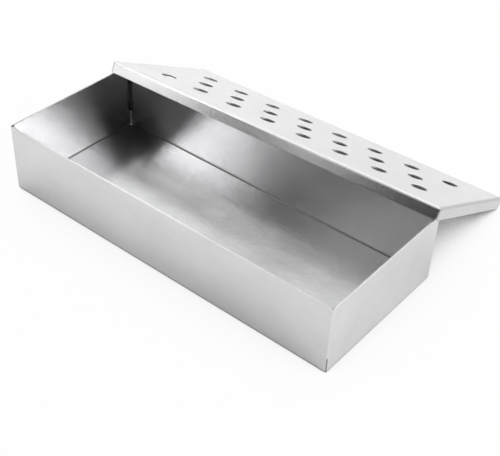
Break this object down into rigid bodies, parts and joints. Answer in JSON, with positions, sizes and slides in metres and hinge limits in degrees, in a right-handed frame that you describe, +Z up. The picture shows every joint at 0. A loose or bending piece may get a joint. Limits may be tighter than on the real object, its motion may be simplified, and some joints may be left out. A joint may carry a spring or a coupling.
{
  "type": "grill smoker box",
  "caption": "Folded sheet steel tray for wood chips with a shallow perforated lift-off lid, laid open and leaning on the tray.",
  "frame": {"origin": "middle of the tray's underside, which stands on the grill grate or the table", "axes": "+X along the tray's length, +Y towards the long wall that the open lid leans on, +Z up"},
  "size_m": [0.2152, 0.1651, 0.0459],
  "materials": {
    "tray_steel": "cold-rolled stainless sheet with a fine mill grain along the length",
    "weld_metal": "stainless weld bead, as laid inside and ground flush outside",
    "lid_steel": "cold-rolled stainless sheet with punched holes"
  },
  "bodies": {
    "tray": {"tray": "tray_steel", "corner_weld_front_left": "weld_metal", "corner_weld_front_right": "weld_metal", "corner_weld_rear_left": "weld_metal", "corner_weld_rear_right": "weld_metal"},
    "lid": {"lid": "lid_steel"}
  },
  "joints": [
    {"name": "lid_lift", "type": "slide", "parent": "tray", "child": "lid", "axis": [0, 0, 1], "range_m": [0, 0.06]}
  ]
}
